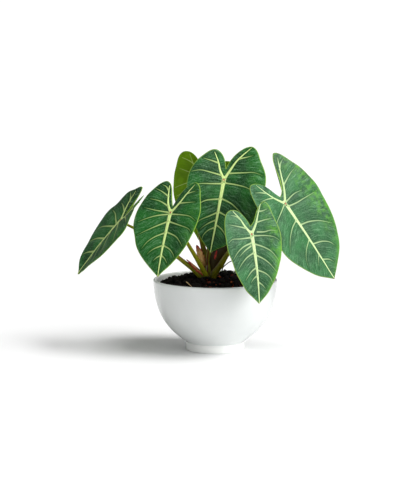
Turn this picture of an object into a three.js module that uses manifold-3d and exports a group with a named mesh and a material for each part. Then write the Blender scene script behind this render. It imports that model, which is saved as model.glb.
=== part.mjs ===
// Potted alocasia: six heart-shaped leaves on long stalks, rising from one crown in a footed bowl.
// Millimetres, +Z up. The origin is on the pot's axis, at the underside of its foot.

import * as THREE from 'three';
import { mergeVertices } from 'three/addons/utils/BufferGeometryUtils.js';
import Module from 'manifold-3d';

// ---------- driving dimensions ----------

const GAP = 0.3; // clearance between pieces that touch

const POT = {
  rimRadius: 80,
  height: 92,
  wall: 3.8,
  footRadius: 38.2,
  footHeight: 10,
  footRound: 1.5,
  floorThickness: 14,
};

const BOWL_STEPS = 11; // stretches in the wall's curve

const SOIL = {
  wallLevel: 82.5, // height of the soil where it meets the bowl
  moundRise: 10.5, // how far it heaps up at the crown
  moundSpread: 45,
  radius: 74,
  backSlope: 0.05, // the soil lies a little higher at the back
  lump: 0.8,
};

const CROWN = { x: -9, y: 0, radius: 14.5, top: 94.6, bottom: 62 };

const BLADE_THICKNESS = 1.2;
const HALF_STEPS = 18; // points along each half of a blade's margin
const RING_FRACTIONS = [0, 0.22, 0.44, 0.64, 0.82, 0.96, 1];

// Each leaf: where its stalk joins the blade, which way its upper face looks (azimuth turns it
// to the right, elevation up), how its midrib rolls from hanging straight down, and its shape.
// Halves are named as seen from the upper face with the tip down.
const LEAVES = [
  {
    name: 'left',
    joint: [-121, -8, 169],
    azimuth: -69, elevation: 38, roll: -19,
    length: 92, notch: 10, tipBend: 1.3, lobeBend: -0.3, fold: 15, curl: 3.5,
    left: { lobe: 49, lobeOut: 13, spread: 0.1, lobeRound: 0.2, half: 46, widest: 26, fullness: 0.3 },
    right: { lobe: 47, lobeOut: 13, spread: 0.1, lobeRound: 0.2, half: 49, widest: 26, fullness: 0.3 },
    color: 0x27603a,
    stalk: {
      radii: [4.6, 2.9, 2.3, 1.4],
      path: [[-18, 0, 95], [-21, -1, 99], [-34, -4, 110], [-48, -6, 121], [-72, -8, 140], [-103, -7, 158]],
    },
  },
  {
    name: 'front_left',
    joint: [-56, -62, 185],
    azimuth: -27, elevation: 31, roll: 0,
    length: 85, notch: 10, tipBend: 2.7, lobeBend: 5.5, fold: 11, curl: 1.6,
    left: { lobe: 44, lobeOut: 18, spread: 0.2, lobeRound: 0.2, half: 46, widest: 14, fullness: 0.4 },
    right: { lobe: 44, lobeOut: 22, spread: 0.1, lobeRound: 0.2, half: 43, widest: 12, fullness: 0.3 },
    color: 0x2b683c,
    stalk: {
      radii: [4.6, 3.1, 2.3, 1.6],
      path: [[-13, -8, 95], [-14, -9, 99], [-22, -15, 117], [-34, -26, 139], [-45, -42, 161]],
    },
  },
  {
    name: 'back',
    joint: [-14.5, 46, 204],
    azimuth: 172, elevation: 38, roll: 9,
    length: 84, notch: 15, tipBend: 4.3, lobeBend: -3, fold: 16, curl: 1,
    left: { lobe: 47, lobeOut: 25, spread: 0.1, lobeRound: 0.4, half: 42, widest: 12, fullness: 0.2 },
    right: { lobe: 54, lobeOut: 24, spread: 0, lobeRound: 0.4, half: 41, widest: 12, fullness: 0.2 },
    color: 0x557d10,
    stalk: {
      radii: [3.6, 2.6, 2.2, 1.6],
      path: [[-9, 9, 95], [-9.5, 9, 100], [-14, 12, 125], [-19, 16, 145], [-22, 26, 170], [-18, 35, 190]],
    },
  },
  {
    name: 'centre',
    joint: [11, -18, 222],
    azimuth: 3, elevation: 17, roll: -11,
    length: 98, notch: 15, tipBend: 6.6, lobeBend: 2.5, fold: 13, curl: 1.6,
    left: { lobe: 37, lobeOut: 17, spread: 0, lobeRound: 0.2, half: 46, widest: 11, fullness: 0.3 },
    right: { lobe: 49, lobeOut: 27, spread: 0.1, lobeRound: 0.2, half: 54, widest: 17, fullness: 0.3 },
    color: 0x2c6b3e,
    stalk: {
      radii: [3.0, 2.6, 2.2, 1.6],
      path: [[-8, 0, 95], [-8, 0, 100], [-6, 3, 118], [-3, 6, 145], [3, 7, 175], [9, 0, 208]],
    },
  },
  {
    name: 'front_right',
    joint: [45, -88, 161],
    azimuth: 20, elevation: 22, roll: 3,
    length: 88, notch: 11, tipBend: 4.8, lobeBend: 2.1, fold: 11, curl: 1.5,
    left: { lobe: 34, lobeOut: 21, spread: 0, lobeRound: 0.3, half: 37, widest: 10, fullness: 0.4 },
    right: { lobe: 40, lobeOut: 23, spread: 0.6, lobeRound: 0.2, half: 36, widest: 10, fullness: 0.4 },
    color: 0x4f8558,
    stalk: {
      radii: [4.4, 3.1, 2.3, 1.6],
      path: [[-3.5, -9, 95], [-2, -11, 99], [7, -22, 113], [17, -36, 131], [31, -60, 148]],
    },
  },
  {
    name: 'right',
    joint: [89, -19, 191.5],
    azimuth: 40, elevation: 20, roll: 29,
    length: 119, notch: 11, tipBend: 0.6, lobeBend: 4, fold: 15, curl: 1.9,
    left: { lobe: 49, lobeOut: 32, spread: 0, lobeRound: 0.2, half: 56, widest: 26, fullness: 0.5 },
    right: { lobe: 57, lobeOut: 33, spread: 0.9, lobeRound: 0.2, half: 55, widest: 24, fullness: 0.5 },
    color: 0x4a8455,
    stalk: {
      radii: [4.2, 3.2, 2.4, 1.8],
      path: [[0.5, 2, 95], [1, 1, 100], [4, -2, 117], [11, -6, 133], [38, -7, 158], [66, -7, 178]],
    },
  },
];

// Dry sheaths that once wrapped young leaves: base, tip and the way the outer face looks.
const SHEATHS = [
  { name: 'left', base: [-21, -6, 103], tip: [-37, -10, 118], face: [0.4, -0.7, 0.6], width: 6 },
  { name: 'middle', base: [-14, 0, 108], tip: [-24, 1, 136], face: [-0.4, -0.8, 0.4], width: 7 },
  { name: 'right', base: [-2, -6, 106], tip: [-1, -9, 127], face: [0.3, -0.9, 0.2], width: 5 },
];
const SHEATH_THICKNESS = 0.9;
const SHEATH_RING_FRACTIONS = [0, 0.5, 0.9, 1];
const SHEATH_GUTTER = 45; // how strongly a sheath curls across, per metre

// Bits of bark that lie on the soil: place, half sizes and turn about the vertical.
const BARK_CHIPS = [
  { x: 22, y: -14, size: [3.2, 1.6, 1.2], turn: 30 },
  { x: 13, y: 14, size: [2.6, 1.8, 1.3], turn: -40 },
  { x: 19, y: -44, size: [3.0, 1.5, 1.2], turn: 10 },
  { x: -55, y: 26, size: [2.8, 2.0, 1.5], turn: 65 },
  { x: -34, y: 40, size: [3.4, 2.2, 1.6], turn: -15 },
  { x: 34, y: 38, size: [3.2, 2.0, 1.4], turn: 50 },
  { x: 40, y: -32, size: [2.6, 1.7, 1.2], turn: 100 },
  { x: -45, y: -34, size: [2.8, 1.6, 1.2], turn: -70 },
];
const CHIP_FACETS = 1; // how finely a chip's solid is divided

// Loose strands; the third value of each point is its height over the soil.
const STRAW = { path: [[-39, -18, 4], [-35, -30, 3], [-31, -46, 3]], radius: 0.9 };
const ROOTLET = { path: [[9, 20, 3], [13, 24, 9], [20, 28, 13], [27, 30, 12]], radius: 0.6 };

// ---------- shared helpers ----------

const wasm = await Module();
wasm.setup();

const group = new THREE.Group();

function addPiece(name, geometry, color, roughness) {
  const material = new THREE.MeshStandardMaterial({ color, roughness, metalness: 0 });
  const mesh = new THREE.Mesh(geometry, material);
  mesh.name = name;
  group.add(mesh);
}

function weld(geometry) {
  geometry.deleteAttribute('normal');
  geometry.deleteAttribute('uv');
  return mergeVertices(geometry, 1e-4);
}

function toSolid(geometry) {
  const welded = weld(geometry.clone());
  return new wasm.Manifold(new wasm.Mesh({
    numProp: 3,
    vertProperties: new Float32Array(welded.attributes.position.array),
    triVerts: new Uint32Array(welded.index.array),
  }));
}

function cut(geometry, tool) {
  const mesh = toSolid(geometry).subtract(toSolid(tool)).getMesh();
  const result = new THREE.BufferGeometry();
  result.setAttribute('position', new THREE.BufferAttribute(mesh.vertProperties, 3));
  result.setIndex(new THREE.BufferAttribute(mesh.triVerts, 1));
  return result;
}

// Turns a profile of [radius, height] points about the vertical axis.
function turned(profile, segments) {
  const points = profile.map(([radius, height]) => new THREE.Vector2(radius, height));
  return new THREE.LatheGeometry(points, segments).rotateX(Math.PI / 2);
}

function vectors(points) {
  return points.map(([x, y, z]) => new THREE.Vector3(x, y, z));
}

function soilHeight(x, y) {
  const fromCrown = Math.hypot(x - CROWN.x, y - CROWN.y) / SOIL.moundSpread;
  const mound = SOIL.moundRise * Math.exp(-fromCrown * fromCrown);
  const lumps = SOIL.lump * Math.sin(x / 4.1 + 1) * Math.cos(y / 3.7);
  return SOIL.wallLevel + SOIL.backSlope * y + mound + lumps;
}

// ---------- pot, soil and crown ----------

// The bowl's wall from the rim down to the foot, as [radius, height] points, at a depth inside
// the outer surface.
function bowlWall(inset) {
  const { rimRadius, height, footRadius, footHeight } = POT;
  const curve = new THREE.CubicBezierCurve(
    new THREE.Vector2(rimRadius, height - 2),
    new THREE.Vector2(rimRadius - 1.6, height - 44),
    new THREE.Vector2(rimRadius - 16.5, height - 63.5),
    new THREE.Vector2(footRadius - 0.2, footHeight + 1.2),
  );
  return curve.getPoints(BOWL_STEPS).map((p, i) => {
    const along = curve.getTangent(i / BOWL_STEPS);
    return [p.x + along.y * inset, p.y - along.x * inset];
  });
}

// The part of the wall that bounds the hollow, down to where the bowl's floor begins.
function hollowWall(inset) {
  const aboveFloor = bowlWall(POT.wall).filter(([, height]) => height > POT.floorThickness + 1).length;
  return bowlWall(inset).slice(0, aboveFloor);
}

function makePot() {
  const { height, wall, footRadius, footHeight, footRound, floorThickness } = POT;
  const outside = bowlWall(0).reverse();
  const inside = hollowWall(wall);
  const lip = [
    [outside.at(-1)[0] - 0.6, height - 0.6],
    [outside.at(-1)[0] - wall / 2, height],
    [inside[0][0] + 0.6, height - 0.6],
  ];
  const profile = [
    [0, 0],
    [footRadius - footRound, 0],
    [footRadius, footRound],
    [footRadius, footHeight - 1],
    ...outside,
    ...lip,
    ...inside,
    [0, floorThickness],
  ];
  addPiece('pot', turned(profile, 48), 0xdcdfdc, 0.12);
}

function crownShape(grow) {
  const { x, y, radius, top, bottom } = CROWN;
  const profile = [
    [0, bottom - grow],
    [radius * 0.55 + grow, bottom + 3 - grow],
    [radius * 0.95 + grow, bottom + 14],
    [radius + grow, top - 5],
    [radius * 0.97 + grow, top - 0.8 + grow],
    [radius * 0.9 + grow, top + grow],
    [0, top + grow],
  ];
  return turned(profile, 20).translate(x, y, 0);
}

function makeSoil() {
  const floor = POT.floorThickness + GAP;
  const side = hollowWall(POT.wall + GAP).filter(([, height]) => height < SOIL.wallLevel - 5).reverse();
  const surfaceRadii = [SOIL.radius, 68, 61, 53, 45, 37, 29, 21, 13, 6, 0];
  const surface = surfaceRadii.map((radius) => [radius, SOIL.wallLevel]);
  const geometry = turned([[0, floor], ...side, ...surface], 48);
  const position = geometry.attributes.position;
  for (let i = 0; i < position.count; i += 1) {
    if (position.getZ(i) > SOIL.wallLevel - 0.01) {
      position.setZ(i, soilHeight(position.getX(i), position.getY(i)));
    }
  }
  addPiece('soil', cut(geometry, crownShape(GAP)), 0x1c1512, 0.95);
}

// ---------- blades ----------

// A right-handed frame: along points to the tip, across to the right half, face out of the
// upper surface.
function leafFrame({ azimuth, elevation, roll }) {
  const [a, e, r] = [azimuth, elevation, roll].map(THREE.MathUtils.degToRad);
  const face = new THREE.Vector3(Math.sin(a) * Math.cos(e), -Math.cos(a) * Math.cos(e), Math.sin(e));
  const level = new THREE.Vector3(Math.cos(a), Math.sin(a), 0);
  const along = level.clone().cross(face).applyAxisAngle(face, r);
  const across = face.clone().cross(along);
  return { along, across, face };
}

// One half of a heart-shaped margin, from the notch round the lobe and down to the tip.
function heartHalf({ length, notch }, { lobe, lobeOut, spread, lobeRound, half, widest, fullness }) {
  const reach = 0.35 * (lobe - notch);
  const path = new THREE.Path();
  path.moveTo(-notch, 0);
  path.bezierCurveTo(
    -notch - reach * (1 - spread), (0.12 + 0.3 * spread) * lobeOut,
    -lobe + reach * spread, 0.45 * lobeOut,
    -lobe, lobeOut,
  );
  path.bezierCurveTo(
    -lobe, lobeOut + lobeRound * half,
    widest - 0.6 * (lobe + widest), half,
    widest, half,
  );
  path.bezierCurveTo(
    widest + 0.5 * (length - widest), half,
    length - 0.22 * (length - widest), fullness * half,
    length, 0,
  );
  return path.getSpacedPoints(HALF_STEPS);
}

// One half of a lance-shaped margin, centred on its own middle.
function lanceHalf(length, width) {
  const path = new THREE.Path();
  path.moveTo(-length / 2, 0);
  path.quadraticCurveTo(-length / 2, width / 2, -length / 6, width / 2);
  path.quadraticCurveTo(length / 4, width / 2, length / 2, 0);
  return path.getSpacedPoints(6);
}

// Bends the flat blade: the midrib curves away from the face towards the tip and the lobes,
// the halves fold up from it, and each half arches over.
function bladePoint(u, v, { origin, frame, tipBend, lobeBend, fold, curl }) {
  const perMillimetre = 1 / 1000;
  const bend = (u > 0 ? tipBend : lobeBend) * perMillimetre || 1e-9;
  const midribRound = 4;
  const rise = Math.tan(THREE.MathUtils.degToRad(fold)) * (Math.hypot(v, midribRound) - midribRound);
  const lift = rise - curl * perMillimetre * v * v;
  const along = Math.sin(bend * u) / bend + Math.sin(bend * u) * lift;
  const out = (Math.cos(bend * u) - 1) / bend + Math.cos(bend * u) * lift;
  return origin.clone()
    .addScaledVector(frame.along, along)
    .addScaledVector(frame.across, v)
    .addScaledVector(frame.face, out);
}

// A blade is a sphere pressed flat: its poles lie back to back at the middle, its parallels are
// rings of the outline, and its equator is the sharp margin.
function bladeGeometry(rightHalf, leftHalf, ringFractions, thickness, shape) {
  const mirrored = leftHalf.map((p) => new THREE.Vector2(p.x, -p.y));
  const outline = [...mirrored, ...rightHalf.slice(1, -1).reverse()];
  const rings = ringFractions.length - 1;
  const geometry = new THREE.SphereGeometry(1, outline.length, 2 * rings);
  const position = geometry.attributes.position;
  for (let i = 0; i < position.count; i += 1) {
    const parallel = Math.floor(i / (outline.length + 1));
    const edge = outline[(i % (outline.length + 1)) % outline.length];
    const fraction = ringFractions[Math.min(parallel, 2 * rings - parallel)];
    const side = Math.sign(rings - parallel);
    const point = bladePoint(edge.x * fraction, edge.y * fraction, shape);
    point.addScaledVector(shape.frame.face, (side * thickness) / 2);
    position.setXYZ(i, ...point);
  }
  return weld(geometry);
}

function makeLeaf(leaf) {
  const shape = { ...leaf, origin: new THREE.Vector3(...leaf.joint), frame: leafFrame(leaf) };
  const geometry = bladeGeometry(
    heartHalf(leaf, leaf.right), heartHalf(leaf, leaf.left), RING_FRACTIONS, BLADE_THICKNESS, shape,
  );
  addPiece(`leaf_${leaf.name}`, geometry, leaf.color, 0.45);
}

function makeSheath({ name, base, tip, face, width }) {
  const [from, to] = vectors([base, tip]);
  const along = to.clone().sub(from).normalize();
  const across = new THREE.Vector3(...face).cross(along).normalize();
  const frame = { along, across, face: along.clone().cross(across) };
  const origin = from.clone().lerp(to, 0.5);
  const shape = { origin, frame, tipBend: 6, lobeBend: 0, fold: 0, curl: SHEATH_GUTTER };
  const half = lanceHalf(from.distanceTo(to), width);
  const geometry = bladeGeometry(half, half, SHEATH_RING_FRACTIONS, SHEATH_THICKNESS, shape);
  addPiece(`sheath_${name}`, geometry, 0xc0603f, 0.7);
}

// ---------- stalks and other round strands ----------

// A closed tube along a path, whose radius runs evenly through the given radii.
function strand(points, radii, sides, steps) {
  const path = new THREE.CatmullRomCurve3(points);
  const section = new THREE.Shape(
    Array.from({ length: sides }, (_, i) => {
      const angle = (2 * Math.PI * i) / sides;
      return new THREE.Vector2(Math.cos(angle), Math.sin(angle)).multiplyScalar(0.1);
    }),
  );
  const geometry = new THREE.ExtrudeGeometry(section, { steps, extrudePath: path, bevelEnabled: false });
  const centres = path.getSpacedPoints(steps);
  const thickness = new THREE.SplineCurve(radii.map((radius, i) => new THREE.Vector2(i, radius)));
  const position = geometry.attributes.position;
  const vertex = new THREE.Vector3();
  for (let i = 0; i < position.count; i += 1) {
    vertex.fromBufferAttribute(position, i);
    const nearest = centres.reduce(
      (best, centre, k) => (centre.distanceTo(vertex) < centres[best].distanceTo(vertex) ? k : best), 0,
    );
    const radius = thickness.getPoint(nearest / steps).y;
    vertex.sub(centres[nearest]).setLength(radius).add(centres[nearest]);
    position.setXYZ(i, ...vertex);
  }
  return weld(geometry);
}

function makeStalk(leaf) {
  const { face } = leafFrame(leaf);
  const joint = new THREE.Vector3(...leaf.joint);
  const underside = BLADE_THICKNESS / 2 + 3 * GAP;
  const points = [
    ...vectors(leaf.stalk.path),
    joint.clone().addScaledVector(face, -8),
    joint.clone().addScaledVector(face, -underside),
  ];
  const geometry = strand(points, leaf.stalk.radii, 10, 16);
  addPiece(`stalk_${leaf.name}`, cut(geometry, crownShape(GAP)), 0x5b6410, 0.5);
}

function overSoil(path) {
  return path.map(([x, y, height]) => new THREE.Vector3(x, y, soilHeight(x, y) + height));
}

function makeBarkChip({ x, y, size, turn }, index) {
  const geometry = weld(new THREE.IcosahedronGeometry(1, CHIP_FACETS));
  geometry.scale(...size);
  geometry.rotateZ(THREE.MathUtils.degToRad(turn));
  geometry.translate(x, y, soilHeight(x, y) + size[2] + 2 * SOIL.lump);
  addPiece(`bark_chip_${index + 1}`, geometry, 0x8a4a2a, 0.9);
}

// ---------- assembly ----------

makePot();
makeSoil();
addPiece('crown', crownShape(0), 0x4a3a1c, 0.8);
LEAVES.forEach(makeStalk);
LEAVES.forEach(makeLeaf);
SHEATHS.forEach(makeSheath);
BARK_CHIPS.forEach(makeBarkChip);
addPiece('straw', strand(overSoil(STRAW.path), [STRAW.radius, STRAW.radius], 6, 6), 0xc9b48a, 0.8);
addPiece('rootlet', strand(overSoil(ROOTLET.path), [ROOTLET.radius, ROOTLET.radius], 6, 10), 0x4a3524, 0.8);

export default group;
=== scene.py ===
"""Potted alocasia: pale-veined, heart-shaped leaves on long stalks in a white glazed bowl.

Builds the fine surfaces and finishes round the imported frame. Metres, +Z up, the same frame as the
solids. Lengths named in millimetres are turned to metres by MM.
"""

import math
import random

import bmesh
import bpy
import numpy as np
from bpy.props import FloatProperty, FloatVectorProperty, IntProperty, PointerProperty
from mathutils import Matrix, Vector, noise
from mathutils.bvhtree import BVHTree


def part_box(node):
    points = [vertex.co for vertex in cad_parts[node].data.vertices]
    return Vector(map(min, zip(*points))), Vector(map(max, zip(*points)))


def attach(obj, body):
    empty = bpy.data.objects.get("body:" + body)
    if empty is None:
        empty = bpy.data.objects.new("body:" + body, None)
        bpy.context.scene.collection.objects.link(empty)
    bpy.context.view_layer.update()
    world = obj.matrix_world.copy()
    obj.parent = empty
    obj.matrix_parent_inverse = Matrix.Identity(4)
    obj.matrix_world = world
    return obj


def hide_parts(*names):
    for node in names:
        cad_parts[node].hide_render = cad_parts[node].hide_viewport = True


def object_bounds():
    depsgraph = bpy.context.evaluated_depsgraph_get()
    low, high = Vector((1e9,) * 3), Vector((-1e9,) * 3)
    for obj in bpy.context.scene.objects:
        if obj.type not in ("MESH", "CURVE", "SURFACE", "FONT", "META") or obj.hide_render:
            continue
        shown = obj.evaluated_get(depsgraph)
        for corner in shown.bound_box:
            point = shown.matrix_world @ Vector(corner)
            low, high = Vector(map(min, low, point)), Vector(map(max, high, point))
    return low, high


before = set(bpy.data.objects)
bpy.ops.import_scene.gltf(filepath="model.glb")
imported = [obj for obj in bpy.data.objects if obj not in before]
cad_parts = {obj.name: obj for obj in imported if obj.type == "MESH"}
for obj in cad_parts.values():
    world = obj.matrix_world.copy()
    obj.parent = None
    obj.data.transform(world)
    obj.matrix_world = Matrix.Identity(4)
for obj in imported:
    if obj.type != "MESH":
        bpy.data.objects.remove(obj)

bl_info = {
    "name": "Potted alocasia",
    "version": (1, 0, 0),
    "blender": (4, 5, 0),
    "location": "3D View > Sidebar > Alocasia",
    "description": "Builds a potted alocasia with detailed leaves, stalks, soil and bowl",
    "category": "Add Mesh",
}

CAD_BOX = [list(corner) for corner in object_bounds()]
MM = 0.001

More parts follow.
